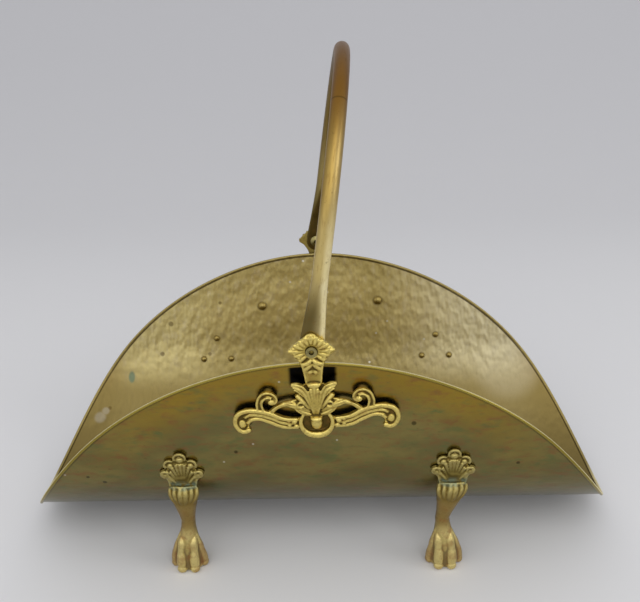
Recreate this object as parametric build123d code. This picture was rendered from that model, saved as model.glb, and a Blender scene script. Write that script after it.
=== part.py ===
from build123d import *
from math import cos, pi, radians, sin, sqrt, tan
import os

# Brass log holder: an oval sheet bent into a trough on four paw feet, with a swinging hoop handle.
# Millimetres. X runs along the trough, Y through it from front to back, Z up from the floor.

# Trough, measured on the outer face of the sheet
trough_length = 610.0
blank_half_width = 290.0
blank_end_power = 1.87
sheet_thickness = 0.9
bend_radius = 127.0
wall_lean = 7.0
ground_clearance = 20.0

# Rolled rim and the wire inside it
rim_radius = 1.5
rim_wire_radius = 0.6
rim_wire_clearance = 0.05
rim_outset = 0.5
rim_spans = 32

# Rivets
large_head_radius = 5.0
large_head_height = 3.0
large_shank_radius = 2.2
small_head_radius = 3.4
small_head_height = 2.2
small_shank_radius = 1.5
shank_clearance = 0.1
shank_engagement = 3.5
head_lift = 0.1

# Handle brackets
bracket_standoff = 4.0
bracket_thickness = 4.0
relief_height = 2.2
pivot_above_rim = 14.1
hinge_offset = -1.4
bracket_turn = 1.9
head_half_width = 20.5
head_rise = 18.0
head_tip_radius = 4.0
head_edge_radius = 3.4
stem_top_half_width = 9.2
stem_foot_half_width = 7.8
stem_foot_drop = 42.0
stem_paddle_clearance = 1.0
neck_length = 24.0
neck_top_half_width = 11.5
leaf_base_drop = 67.0
cup_radius = 16.5
cup_bore_radius = 12.0
cup_drop = 77.0
boss_half_width = 6.2
boss_half_height = 8.5
arm_rivet_half_spacing = 69.5
arm_rivet_drop = 76.0
arm_width = 11.0
scroll_width = 5.0
scroll_eye_radius = 4.6
volute_radius = 7.8
volute_crest_rise = 14.5
small_scroll_half_spacing = 41.8
small_scroll_drop = 49.5
small_scroll_radius = 7.5
small_eye_radius = 3.0
rivet_boss_radius = 4.6

# Pivot pins
pin_radius = 3.0
pin_fit = 0.02
pin_running_fit = 0.06
pin_flange_radius = 5.0
pin_flange_thickness = 1.2
pin_recess_radius = 2.1
pin_recess_depth = 3.0
pin_head_radius = 6.5
pin_head_height = 2.4
side_clearance = 0.3

# Handle
handle_radius = 7.2
handle_wall = 1.2
handle_rise = 235.0
handle_rest_lean = 7.8
paddle_thickness = 3.2
paddle_radius = 11.0
paddle_flat_length = 26.0
paddle_flare_length = 38.0

# Feet
foot_places = {"front_left": 129.7, "front_right": 128.8, "back_left": 125.5, "back_right": 140.5}
ankle_inward_shifts = {"front_left": 1.3, "front_right": 8.4, "back_left": 4.0, "back_right": 4.0}
paw_inward_shifts = {"front_left": -1.3, "front_right": 5.2, "back_left": 2.0, "back_right": 2.0}
ankle_share = 0.6
paw_share = 0.2
foot_mount_around = 167.0
foot_seat_clearance = 0.05
palmette_thickness = 4.0
palmette_base_drop = 23.0
palmette_base_half_width = 12.0
palmette_lobe_angles = [-41.0, -16.0, 0.0, 16.0, 41.0]
palmette_lobe_lengths = [24.3, 34.0, 41.0, 34.0, 24.3]
palmette_lobe_radii = [5.8, 5.6, 6.5, 5.6, 5.8]
foot_rivet_rise = 19.0
foot_rivet_drop = 7.0
foot_rivet_half_spacing = 16.6
toe_places = [-13.2, -6.2, 6.2, 13.2]
toe_radii = [4.8, 5.6, 5.6, 4.8]
outer_toe_setback = 9.5
toe_reach = 15.0
toe_lift = 0.2
knuckle_setback = 5.5
knuckle_height = 31.0

# Derived places
half_length = trough_length / 2
bend_angle = 90 - wall_lean
bend_length = bend_radius * radians(bend_angle)
trough_axis_z = ground_clearance + bend_radius


def wall_point(around, outward=0.0):
    """Y and Z of a point on the back half of the sheet, measured around the bend from the bottom."""
    turn = min(abs(around), bend_length) / bend_radius
    straight = max(abs(around) - bend_length, 0)
    y = (bend_radius + outward) * sin(turn) + straight * cos(turn)
    z = trough_axis_z - (bend_radius + outward) * cos(turn) + straight * sin(turn)
    return (y if around >= 0 else -y), z


def front_face(around, outward=0.0, x=0.0):
    """Plane on the front wall: its Z points away from the trough and its Y points up the wall."""
    turn = min(around, bend_length) / bend_radius
    y, z = wall_point(around, outward)
    return Plane(origin=(x, -y, z), x_dir=(1, 0, 0), z_dir=(0, -sin(turn), -cos(turn)))


rim_y, rim_z = wall_point(blank_half_width)
pivot_z = rim_z + pivot_above_rim
wall_y_at_pivot = rim_y + pivot_above_rim * tan(radians(wall_lean))
head_inner_y = wall_y_at_pivot + bracket_standoff - 0.5
head_outer_y = head_inner_y + bracket_thickness
paddle_y = head_inner_y - side_clearance - paddle_thickness / 2
pivot_axis = Axis((hinge_offset, 0, pivot_z), (0, 1, 0))
pivot_around = blank_half_width + pivot_above_rim / cos(radians(wall_lean))


def rim_point(angle, shrink=0.0, outward=0.0):
    """Point on the oval edge of the bent blank, with the oval drawn in by shrink."""
    swing = abs(cos(angle)) ** (2 / blank_end_power)
    x = (half_length - shrink) * (swing if cos(angle) >= 0 else -swing)
    y, z = wall_point((blank_half_width - shrink) * sin(angle), outward)
    return Vector(x, y, z)


def trough_filling(outward, top):
    """Solid that fills the bent sheet up to its outer face moved outward."""
    foot_y, foot_z = wall_point(bend_length, outward)
    top_y = foot_y + (top - foot_z) * tan(radians(wall_lean))
    bottom_z = trough_axis_z - bend_radius - outward
    outline = Plane.YZ * (
        Line((-top_y, top), (-foot_y, foot_z))
        + ThreePointArc((-foot_y, foot_z), (0, bottom_z), (foot_y, foot_z))
        + Line((foot_y, foot_z), (top_y, top))
        + Line((top_y, top), (-top_y, top))
    )
    return extrude(make_face(outline), amount=half_length + 10, both=True)


def rim_side_profile(shrink):
    """Side view of the trough under its rim, drawn through points of the oval edge."""
    steps = 24
    points = [rim_point(pi * i / steps, shrink) for i in range(steps + 1)]
    side = [(point.X, point.Z) for point in points]
    below = ground_clearance - 5
    outline = Plane.XZ * (
        Spline(*side)
        + Line(side[-1], (side[-1][0], below))
        + Line((side[-1][0], below), (side[0][0], below))
        + Line((side[0][0], below), side[0])
    )
    return extrude(make_face(outline), amount=rim_y + 50, both=True)


def arc_pair(start, start_direction, end, end_direction):
    """Two tangent arcs from start to end that follow both directions."""
    chord = end - start
    total = start_direction + end_direction
    spread = 2 * (1 - start_direction.dot(end_direction))
    along = chord.dot(total)
    if spread < 1e-9:
        reach = chord.dot(chord) / (2 * along)
    else:
        reach = (sqrt(along**2 + spread * chord.dot(chord)) - along) / spread
    first = start + start_direction * reach
    second = end - end_direction * reach
    middle = (first + second) * 0.5
    return [
        TangentArc(start, middle, tangent=start_direction),
        TangentArc(middle, end, tangent=second - first),
    ]


def rim_path():
    """Closed path of tangent arcs along the middle of the rolled rim."""
    nudge = 0.001

    def place(angle):
        return rim_point(angle, rim_radius, rim_outset)

    arcs = []
    angles = [2 * pi * i / rim_spans + pi / rim_spans for i in range(rim_spans + 1)]
    for start, end in zip(angles, angles[1:]):
        start_direction = (place(start + nudge) - place(start - nudge)).normalized()
        end_direction = (place(end + nudge) - place(end - nudge)).normalized()
        finish = place(angles[0]) if end is angles[-1] else place(end)
        arcs += arc_pair(place(start), start_direction, finish, end_direction)
    return Wire([arc.edge() for arc in arcs])


def rim_tube(radius):
    path = rim_path()
    section = Plane(origin=path @ 0, z_dir=path % 0) * Circle(radius)
    return sweep(section, path=path)


def foot_rivet_places():
    return [
        (0, foot_rivet_rise),
        (-foot_rivet_half_spacing, -foot_rivet_drop),
        (foot_rivet_half_spacing, -foot_rivet_drop),
    ]


def foot_rivet_planes(outward):
    """Planes of the three rivets of a front foot, square to the bent sheet."""
    planes = []
    for across, up in foot_rivet_places():
        planes.append(front_face(foot_mount_around + up, outward, across))
    return planes


def arm_rivet_planes(outward):
    """Planes of the two rivets of the front bracket, which is turned a little about the pivot."""
    planes = []
    for side in (-1, 1):
        place = Vector(side * arm_rivet_half_spacing, -arm_rivet_drop).rotate(Axis.Z, bracket_turn)
        planes.append(front_face(pivot_around + place.Y, outward, hinge_offset + place.X))
    return planes


def at_corner(shape, corner):
    """A shape made for the right half of the front wall, set at one corner of the trough."""
    placed = Pos(foot_places[corner], 0, 0) * shape
    if corner.endswith("left"):
        placed = mirror(placed, about=Plane.YZ)
    if corner.startswith("back"):
        placed = mirror(placed, about=Plane.XZ)
    return placed


def trough_sheet():
    """Bent brass sheet with its edge rolled outward over a wire."""
    top = rim_z + 5
    shell = trough_filling(0, top) - trough_filling(-sheet_thickness, top)
    shell = shell & rim_side_profile(rim_radius)
    sheet = shell + rim_tube(rim_radius)
    sheet -= rim_tube(rim_wire_radius + rim_wire_clearance)
    drill = Cylinder(small_shank_radius + shank_clearance, 12)
    foot_holes = Compound([plane * drill for plane in foot_rivet_planes(0)])
    for corner in foot_places:
        sheet -= at_corner(foot_holes, corner).solids()
    drill = Cylinder(large_shank_radius + shank_clearance, 12)
    for plane in arm_rivet_planes(0):
        hole = plane * drill
        sheet -= hole
        sheet -= mirror(hole, about=Plane.XZ)
    return sheet


def dome_rivet(head_radius, head_height, shank_radius, shank_length):
    """Rivet with its domed head below the local origin and its shank rising along +Z."""
    sphere_radius = (head_radius**2 + head_height**2) / (2 * head_height)
    dome = Pos(0, 0, sphere_radius - head_height) * Sphere(sphere_radius)
    dome &= Pos(0, 0, -head_height) * Cylinder(
        head_radius * 1.5, head_height, align=(Align.CENTER, Align.CENTER, Align.MIN)
    )
    shank = Cylinder(shank_radius, shank_length, align=(Align.CENTER, Align.CENTER, Align.MIN))
    return dome + shank


def foot_rivets():
    rivet = dome_rivet(
        small_head_radius,
        small_head_height,
        small_shank_radius,
        sheet_thickness + head_lift + shank_engagement,
    )
    return Compound([plane * rivet for plane in foot_rivet_planes(-sheet_thickness - head_lift)])


def arm_rivets():
    rivet = dome_rivet(
        large_head_radius,
        large_head_height,
        large_shank_radius,
        sheet_thickness + head_lift + shank_engagement,
    )
    return Compound([plane * rivet for plane in arm_rivet_planes(-sheet_thickness - head_lift)])


def leaf_blade(length, width):
    """Pointed leaf outline from the origin up along +Y."""
    return make_face(
        ThreePointArc((0, 0), (width / 2, length * 0.5), (0, length))
        + ThreePointArc((0, length), (-width / 2, length * 0.5), (0, 0))
    )


def raised(face, height, base=0.0):
    return Pos(0, 0, base) * extrude(face, amount=height)


def band(curve, width, height):
    """Bar of one width that follows a flat curve, rounded at its ends."""
    path = Wire(curve.edges())
    strip = trace(path, line_width=width)
    ends = [Pos(*(path @ end)) * Circle(width / 2) for end in (0, 1)]
    solid = raised(strip, height)
    for end in ends:
        solid += raised(end, height)
    return solid


def scroll_arm():
    """Right arm of a bracket: a long S scroll, a small C scroll on its back and a link to the leaf."""
    eye_x, eye_y = arm_rivet_half_spacing, -arm_rivet_drop
    shoulder = (eye_x - 22.0, eye_y + 9.0)
    crest = (eye_x - 6.0, eye_y + volute_crest_rise)
    turn_in = (eye_x + 3.0, eye_y - 3.5)
    long_scroll = ThreePointArc((cup_radius - 2, -cup_drop - 4), (31.0, -cup_drop + 1.5), shoulder)
    volute = (
        ThreePointArc(shoulder, (eye_x - 13.5, eye_y + 12.8), crest)
        + ThreePointArc(crest, (eye_x + 3.2, eye_y + volute_radius), turn_in)
        + ThreePointArc(turn_in, (eye_x - 2.5, eye_y - volute_radius + 1), (eye_x - 7.5, eye_y - 4.5))
    )
    centre_x, centre_y = small_scroll_half_spacing, -small_scroll_drop
    size = small_scroll_radius
    small_scroll = (
        ThreePointArc(
            (centre_x + 6.5, eye_y + 9.0),
            (centre_x + 9.2, centre_y - 8.0),
            (centre_x + size, centre_y),
        )
        + ThreePointArc(
            (centre_x + size, centre_y),
            (centre_x, centre_y + size),
            (centre_x - size, centre_y),
        )
        + ThreePointArc(
            (centre_x - size, centre_y),
            (centre_x - size * 0.6, centre_y - size * 0.7),
            (centre_x - 0.5, centre_y - size * 0.6),
        )
    )
    link = ThreePointArc((20.0, centre_y - 6.0), (32.0, centre_y - 8.5), (45.0, eye_y + 10.0))
    arm = band(long_scroll, arm_width, bracket_thickness)
    arm += band(long_scroll, arm_width * 0.3, bracket_thickness + relief_height)
    arm += band(volute, scroll_width, bracket_thickness + relief_height * 0.6)
    arm += Pos(eye_x, eye_y) * raised(Circle(scroll_eye_radius + 1.5), bracket_thickness)
    arm += Pos(eye_x, eye_y, bracket_thickness) * Sphere(scroll_eye_radius * 0.75)
    arm += band(small_scroll, scroll_width * 0.85, bracket_thickness + relief_height * 0.4)
    arm += Pos(centre_x, centre_y) * raised(Circle(small_eye_radius), bracket_thickness)
    arm += band(link, scroll_width * 0.6, bracket_thickness * 0.8)
    boss_length = bracket_standoff - foot_seat_clearance
    boss = Cylinder(
        rivet_boss_radius, boss_length, align=(Align.CENTER, Align.CENTER, Align.MAX)
    )
    arm += Pos(eye_x, eye_y) * boss
    return arm


def acanthus_leaf():
    """Fan of pointed blades above the cup, each with a raised rib."""
    leaf = None
    blades = [(0, 33.0, 16.0), (29, 40.0, 15.0), (62, 30.0, 14.0), (90, 22.0, 12.0)]
    for angle, length, width in blades:
        for side in (-1, 1):
            turn = Rot(0, 0, -side * angle)
            blade = turn * raised(leaf_blade(length, width), bracket_thickness)
            rib = turn * raised(leaf_blade(length * 0.9, width * 0.34), bracket_thickness + relief_height)
            leaf = blade + rib if leaf is None else leaf + blade + rib
    return Pos(0, -leaf_base_drop) * leaf


def pivot_head():
    """Lozenge head with lobed edges, square to the pivot pin."""
    across = head_half_width - head_tip_radius
    up = head_rise - head_tip_radius
    corners = [(across, 0), (0, up), (-across, 0), (0, -up)]
    outer = [(x * 1.1, y * 1.1) for x, y in corners]
    outline = make_face(Polyline(*outer, outer[0]))
    for x, y in corners:
        outline += Pos(x, y) * Circle(head_tip_radius)
    for (x1, y1), (x2, y2) in zip(corners, corners[1:] + corners[:1]):
        for share in (0.33, 0.67):
            place = Pos(x1 + (x2 - x1) * share, y1 + (y2 - y1) * share)
            outline += place * Circle(head_edge_radius)
    outline += make_face(
        Polyline(
            (-neck_top_half_width, 0),
            (neck_top_half_width, 0),
            (stem_top_half_width - 1, -neck_length),
            (1 - stem_top_half_width, -neck_length),
            (-neck_top_half_width, 0),
        )
    )
    head = Rot(0, 0, bracket_turn) * raised(outline, bracket_thickness)
    face = Plane(origin=(hinge_offset, -head_inner_y, pivot_z), x_dir=(1, 0, 0), z_dir=(0, -1, 0))
    return face * head


def front_bracket():
    """Cast brass bracket: lozenge head, stem, acanthus leaf, open cup and two scroll arms."""
    stem_top = -paddle_radius - stem_paddle_clearance
    stem = raised(
        make_face(
            Polyline(
                (-stem_top_half_width, stem_top),
                (stem_top_half_width, stem_top),
                (stem_foot_half_width, -neck_length - 6),
                (stem_foot_half_width, -stem_foot_drop),
                (-stem_foot_half_width, -stem_foot_drop),
                (-stem_foot_half_width, -neck_length - 6),
                (-stem_top_half_width, stem_top),
            )
        ),
        bracket_thickness,
    )
    arm = scroll_arm()
    cup = raised(Circle(cup_radius), bracket_thickness + relief_height)
    cup -= raised(Pos(0, 1.5) * Circle(cup_bore_radius), bracket_thickness * 2, base=1.6)
    boss = raised(Ellipse(boss_half_width, boss_half_height), bracket_thickness)
    boss += Pos(0, 1.0, bracket_thickness) * Sphere(boss_half_width * 0.9)
    casting = stem + acanthus_leaf() + Pos(0, -cup_drop) * (cup + boss)
    casting += arm + mirror(arm, about=Plane.YZ)
    wall = front_face(pivot_around, bracket_standoff, hinge_offset)
    casting = wall * Rot(0, 0, bracket_turn) * casting
    casting += pivot_head()
    rivet_drill = Cylinder(
        large_shank_radius + shank_clearance,
        bracket_standoff + shank_engagement,
        align=(Align.CENTER, Align.CENTER, Align.MIN),
    )
    for plane in arm_rivet_planes(-sheet_thickness):
        casting -= plane * rivet_drill
    return casting - pivot_bar(pin_radius + pin_fit, head_inner_y - 10, head_outer_y + 20)


def pivot_bar(radius, near_y, far_y):
    """Round bar along the pivot axis on the front side, from one distance to another."""
    middle = -(near_y + far_y) / 2
    return Pos(hinge_offset, middle, pivot_z) * Rot(90, 0, 0) * Cylinder(radius, far_y - near_y)


def front_pin():
    """Hollow-ended rivet that the handle swings on: flange outside, domed head inside."""
    inner_face = paddle_y - paddle_thickness / 2 - side_clearance
    pin = pivot_bar(pin_radius, inner_face - 0.5, head_outer_y + 0.5)
    pin += pivot_bar(pin_flange_radius, head_outer_y, head_outer_y + pin_flange_thickness)
    pin -= pivot_bar(
        pin_recess_radius,
        head_outer_y + pin_flange_thickness - pin_recess_depth,
        head_outer_y + 10,
    )
    sphere_radius = (pin_head_radius**2 + pin_head_height**2) / (2 * pin_head_height)
    dome_y = -inner_face - sphere_radius + pin_head_height
    dome = Pos(hinge_offset, dome_y, pivot_z) * Sphere(sphere_radius)
    return pin + (dome & pivot_bar(pin_head_radius * 1.2, inner_face - pin_head_height, inner_face))


def handle():
    """Hoop of brass tube with both ends flattened into round paddles on the pins."""
    leg_rise = handle_rise - paddle_y
    tube_start = paddle_flat_length + paddle_flare_length

    def hoop(radius):
        start = (-paddle_y, pivot_z + tube_start)
        top = (0, pivot_z + handle_rise)
        shoulder_z = pivot_z + leg_rise
        path = Plane.YZ * (
            Line(start, (-paddle_y, shoulder_z))
            + ThreePointArc((-paddle_y, shoulder_z), top, (paddle_y, shoulder_z))
            + Line((paddle_y, shoulder_z), (paddle_y, start[1]))
        )
        section = Pos(0, -paddle_y, pivot_z + tube_start) * Circle(radius)
        return sweep(section, path=path.wire())

    def flare_section(share):
        width = paddle_radius + (handle_radius - paddle_radius) * share**1.5
        depth = paddle_thickness / 2 + (handle_radius - paddle_thickness / 2) * share**1.3
        height = pivot_z + paddle_flat_length + paddle_flare_length * share
        return Pos(0, -paddle_y, height) * Ellipse(width, depth)

    paddle_plate = Circle(paddle_radius) + Pos(0, paddle_flat_length / 2) * Rectangle(
        2 * paddle_radius, paddle_flat_length
    )
    paddle = Plane(
        origin=(0, -paddle_y, pivot_z), x_dir=(1, 0, 0), z_dir=(0, -1, 0)
    ) * extrude(paddle_plate, amount=paddle_thickness / 2, both=True)
    flare = loft([flare_section(share) for share in (0, 0.25, 0.5, 0.75, 1)])
    end = paddle + flare
    bar = hoop(handle_radius) - hoop(handle_radius - handle_wall)
    bar += end + mirror(end, about=Plane.XZ)
    bar = Pos(hinge_offset, 0, 0) * bar
    hole = pivot_bar(pin_radius + pin_running_fit, paddle_y - 10, paddle_y + 10)
    bar -= hole
    bar -= mirror(hole, about=Plane.XZ)
    return bar.rotate(pivot_axis, handle_rest_lean)


def palmette():
    """Shell of five fluted lobes, in the plane of its middle, base at the bottom."""
    tips = []
    for angle, length in zip(palmette_lobe_angles, palmette_lobe_lengths):
        tips.append((length * sin(radians(angle)), length * cos(radians(angle))))
    base = palmette_base_half_width
    outline = make_face(Polyline((-base, -3), *tips, (base, -3), (-base, -3)))
    for tip, radius in zip(tips, palmette_lobe_radii):
        outline += Pos(*tip) * Circle(radius)
    shell = raised(outline, 2 * palmette_thickness, base=-palmette_thickness)
    for angle, length, tip, radius in zip(
        palmette_lobe_angles, palmette_lobe_lengths, tips, palmette_lobe_radii
    ):
        rib = Rot(0, 0, -angle) * leaf_blade(length + 2, radius)
        shell += raised(rib, palmette_thickness + relief_height)
        shell += Pos(*tip, palmette_thickness) * Sphere(radius * 0.4)
    return Pos(0, -palmette_base_drop) * shell


def toe(index):
    """One toe as a round bar from its knuckle down to its rounded tip."""
    across, radius = toe_places[index], toe_radii[index]
    setback = outer_toe_setback if index in (0, 3) else 0
    tip = Vector(across, foot_tip_y + setback, radius + toe_lift)
    knuckle = Vector(across * 0.5, foot_tip_y + setback * 0.3 + knuckle_setback, knuckle_height)
    direction = knuckle - tip
    bar = Plane(origin=tip, z_dir=direction) * Cylinder(
        radius, direction.length, align=(Align.CENTER, Align.CENTER, Align.MIN)
    )
    return Pos(*tip) * Sphere(radius) + bar + Pos(*knuckle) * Sphere(radius)


leg_top_y, leg_top_z = wall_point(foot_mount_around - palmette_base_drop)
foot_tip_y = -(leg_top_y + toe_reach)


def inward_shift(corner, share):
    """How far a foot stands in towards the middle of the trough, at a share of its leg's height."""
    ankle, paw = ankle_inward_shifts[corner], paw_inward_shifts[corner]
    if share > ankle_share:
        return ankle * max(1 - share, 0) / (1 - ankle_share)
    return paw + (ankle - paw) * max(share - paw_share, 0) / (ankle_share - paw_share)


def front_foot(corner):
    """Cast brass paw foot: fluted shell against the trough, collar, ankle and four-toed paw."""
    # Each leg section: height share of the leg, distance out from the collar, half width, half depth
    sections = [
        (1.06, 7.0, 12.5, 7.0),
        (0.98, 9.5, 14.4, 9.6),
        (0.86, 10.0, 12.8, 9.8),
        (0.72, 8.6, 9.0, 8.0),
        (0.58, 7.4, 7.1, 6.8),
        (0.46, 7.6, 8.2, 7.6),
        (0.32, 8.0, 11.0, 8.6),
        (0.16, 8.2, 13.4, 9.0),
        (0.0, 8.2, 13.6, 9.0),
    ]
    rings = []
    for share, out, half_width, half_depth in sections:
        place = Pos(-inward_shift(corner, share), -(leg_top_y + out), leg_top_z * share)
        rings.append(place * Ellipse(half_width, half_depth))
    leg = loft(rings)
    shell = front_face(foot_mount_around) * palmette()
    foot = shell + leg
    for index in range(4):
        foot += Pos(-inward_shift(corner, 0), 0, 0) * toe(index)
    foot -= trough_filling(foot_seat_clearance, leg_top_z + 100)
    drill = Cylinder(
        small_shank_radius + shank_clearance,
        sheet_thickness + shank_engagement + 0.5,
        align=(Align.CENTER, Align.CENTER, Align.MIN),
    )
    for plane in foot_rivet_planes(-sheet_thickness):
        foot -= plane * drill
    return foot


def front_and_back(shape):
    return {"front": shape, "back": mirror(shape, about=Plane.XZ)}


nodes = {
    "trough_sheet": trough_sheet(),
    "rim_wire": rim_tube(rim_wire_radius),
    "handle": handle(),
}
for corner in foot_places:
    nodes["foot_" + corner] = at_corner(front_foot(corner), corner)
    nodes["foot_rivets_" + corner] = at_corner(foot_rivets(), corner)
for end, shape in front_and_back(front_bracket()).items():
    nodes["bracket_" + end] = shape
for end, shape in front_and_back(arm_rivets()).items():
    nodes["bracket_rivets_" + end] = shape
for end, shape in front_and_back(front_pin()).items():
    nodes["pivot_pin_" + end] = shape

os.makedirs("parts", exist_ok=True)
for name, shape in nodes.items():
    export_step(shape, f"parts/{name}.step")
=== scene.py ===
from math import atan2, cos, hypot, pi, radians, sin, sqrt

import bpy
import numpy as np
from mathutils import Matrix, Vector, kdtree, noise


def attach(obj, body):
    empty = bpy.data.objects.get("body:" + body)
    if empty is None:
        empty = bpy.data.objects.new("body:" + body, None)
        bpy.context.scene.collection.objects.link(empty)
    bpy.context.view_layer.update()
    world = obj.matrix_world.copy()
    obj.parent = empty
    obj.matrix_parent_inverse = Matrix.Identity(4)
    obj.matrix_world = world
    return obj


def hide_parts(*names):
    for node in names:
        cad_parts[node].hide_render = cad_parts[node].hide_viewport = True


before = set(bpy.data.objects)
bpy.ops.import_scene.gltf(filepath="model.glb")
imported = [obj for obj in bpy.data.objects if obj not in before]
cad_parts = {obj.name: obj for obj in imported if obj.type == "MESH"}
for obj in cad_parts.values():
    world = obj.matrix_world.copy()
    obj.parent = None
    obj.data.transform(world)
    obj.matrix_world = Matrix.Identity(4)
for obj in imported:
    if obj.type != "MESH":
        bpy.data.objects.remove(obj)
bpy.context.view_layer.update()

# Trough: an oval blank of thin brass sheet, planished with a hammer, its edge rolled over a wire and
# the whole then bent round a former. Here too it is worked flat, x along and y around, and bent last.
half_length = 0.305
half_around = 0.290
end_power = 1.87
sheet_thickness = 0.0009
bend_radius = 0.127
bend_angle = radians(83)
axis_height = 0.147
rim_radius = 0.0015
rim_outset = 0.0002
blow_size = 0.0095
blow_depth = 0.00026
blow_stretch = 0.62
blow_reach = blow_size * 0.6
calm_border = 0.02
sway_depth = 0.0003
blank_steps = 196
smooth_below = radians(50)


def on_wall(x, around, outward):
    """Where a point of the flat blank lies once the sheet is bent; outward is off its outer face."""
    turn = min(abs(around) / bend_radius, bend_angle)
    straight = max(abs(around) - bend_radius * bend_angle, 0)
    y = (bend_radius + outward) * sin(turn) + straight * cos(turn)
    z = axis_height - (bend_radius + outward) * cos(turn) + straight * sin(turn)
    return Vector((x, y if around > 0 else -y, z))


def on_oval(angle, share):
    """Point of the flat blank at one angle, at a share of the way from its middle to the rim line."""
    swing = abs(cos(angle)) ** (2 / end_power)
    x = (half_length - rim_radius) * (swing if cos(angle) > 0 else -swing)
    return Vector((x * share, (half_around - rim_radius) * sin(angle) * share, 0))


def ramp(value, start, end):
    """Share of the way from start to end that a value has come, 0 before it and 1 past it."""
    return min(max((value - start) / (end - start), 0), 1)


def work_on(piece):
    """Selects one object alone and makes it the active one."""
    bpy.ops.object.select_all(action="DESELECT")
    piece.select_set(True)
    bpy.context.view_layer.objects.active = piece


def join_pieces(pieces, name):
    """Joins mesh objects into one with this name."""
    work_on(pieces[0])
    for piece in pieces:
        piece.select_set(True)
    bpy.ops.object.join()
    pieces[0].name = name
    pieces[0].data.name = name
    return pieces[0]


def apply_modifier(piece, kind, **settings):
    """Adds a modifier with its settings and applies it."""
    modifier = piece.modifiers.new(kind.title(), kind)
    for setting, value in settings.items():
        setattr(modifier, setting, value)
    work_on(piece)
    bpy.ops.object.modifier_apply(modifier=modifier.name)


# Each point of the sheet lies in the dish of the hammer blow nearest to it, some deeper than others.
bpy.ops.mesh.primitive_grid_add(x_subdivisions=blank_steps, y_subdivisions=blank_steps, size=2)
blank = bpy.context.object
rng = np.random.default_rng(11)
blow_count = int(4 * half_length * half_around / blow_size**2 / blow_stretch)
blows = kdtree.KDTree(blow_count)
for index in range(blow_count):
    x, y = rng.uniform(-half_length, half_length), rng.uniform(-half_around, half_around)
    blows.insert((x, y * blow_stretch, 0), index)
blows.balance()
strengths = rng.uniform(0.2, 1.0, blow_count)
for vertex in blank.data.vertices:
    a, b = vertex.co.x, vertex.co.y
    across, along = a * sqrt(1 - b * b / 2), b * sqrt(1 - a * a / 2)
    share = hypot(across, along)
    place = on_oval(atan2(along, across), share)
    _, index, distance = blows.find((place.x, place.y * blow_stretch, 0))
    dish = min(distance / blow_reach, 1.2) ** 2
    calm = ramp((1 - share) * half_around, 0, calm_border)
    sway = noise.noise(Vector((place.x * 16, place.y * 11, 3.0))) * sway_depth
    place.z = calm * (blow_depth * strengths[index] * (dish - 0.6) + sway)
    vertex.co = place
apply_modifier(blank, "SOLIDIFY", thickness=sheet_thickness, offset=1)

bpy.ops.mesh.primitive_torus_add(
    major_segments=320, minor_segments=14, major_radius=1, minor_radius=rim_radius
)
roll = bpy.context.object
for vertex in roll.data.vertices:
    angle = atan2(vertex.co.y, vertex.co.x)
    out = hypot(vertex.co.x, vertex.co.y) - 1
    ahead = on_oval(angle + 0.001, 1) - on_oval(angle - 0.001, 1)
    side = Vector((ahead.y, -ahead.x, 0)).normalized()
    vertex.co = on_oval(angle, 1) + side * out + Vector((0, 0, vertex.co.z - rim_outset))
trough = join_pieces([blank, roll], "hammered_trough")
trough.data.materials.clear()
flat = trough.data.uv_layers[0]
flat.name = "flat_blank"
for polygon in trough.data.polygons:
    polygon.material_index = 0 if polygon.normal.z > -0.3 else 1
    for loop in polygon.loop_indices:
        place = trough.data.vertices[trough.data.loops[loop].vertex_index].co
        flat.data[loop].uv = (place.x, place.y)
for vertex in trough.data.vertices:
    vertex.co = on_wall(vertex.co.x, vertex.co.y, -vertex.co.z)
work_on(trough)
bpy.ops.object.shade_smooth_by_angle(angle=smooth_below)

# Inside of the sheet: hammered brass, wiped now and then, so it is pale gold with a lilac bloom in the
# hammer marks, browner at the tips, with a painted sheen towards the right end, painted shade and a
# rougher finish along the bottom, and painted shade in the crease of the rolled edge and round the
# rivets of the feet and brackets. The top of the front bead has a painted highlight.
foot_places = {"front_left": -0.1297, "front_right": 0.1288, "back_left": -0.1255, "back_right": 0.1405}
mount_around = 0.167
shell_rivets = ((0, 0.019), (-0.0166, -0.007), (0.0166, -0.007))
shell_rivet_head = 0.0034
hinge_offset = -0.0014
pivot_around = 0.304206
bracket_turn = radians(1.9)
arm_rivet_aside = 0.0695
arm_rivet_up = -0.076
arm_rivet_head = 0.005
wiped_roughness = 0.46
dulled_roughness = 0.58


def turned(x, y, angle):
    """A point turned about the origin."""
    return x * cos(angle) - y * sin(angle), x * sin(angle) + y * cos(angle)


def linear(hex_colour):
    """sRGB hex colour as the linear RGBA that a shader takes."""
    channels = [int(hex_colour[i:i + 2], 16) / 255 for i in (1, 3, 5)]
    return [c / 12.92 if c <= 0.04045 else ((c + 0.055) / 1.055) ** 2.4 for c in channels] + [1]


def add_node(material, kind, inputs, output=0, **settings):
    """Adds a shader node, sets it up, sets or links its inputs, and gives back one of its outputs."""
    made = material.node_tree.nodes.new("ShaderNode" + kind)
    for setting, value in settings.items():
        setattr(made, setting, value)
    for socket, value in inputs.items():
        if isinstance(value, bpy.types.NodeSocket):
            material.node_tree.links.new(value, made.inputs[socket])
        else:
            made.inputs[socket].default_value = value
    return made.outputs[output]


def metal(name, roughness):
    """Material with a metallic shader, and that shader's node."""
    material = bpy.data.materials.new(name)
    material.use_nodes = True
    shader = material.node_tree.nodes["Principled BSDF"]
    shader.inputs["Metallic"].default_value = 1
    shader.inputs["Roughness"].default_value = roughness
    return material, shader


def finish_with(material, shader, **outputs):
    """Links outputs to the shader's sockets, with spaces in their names given as underscores."""
    for socket, output in outputs.items():
        material.node_tree.links.new(output, shader.inputs[socket.replace("_", " ")])


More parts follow.
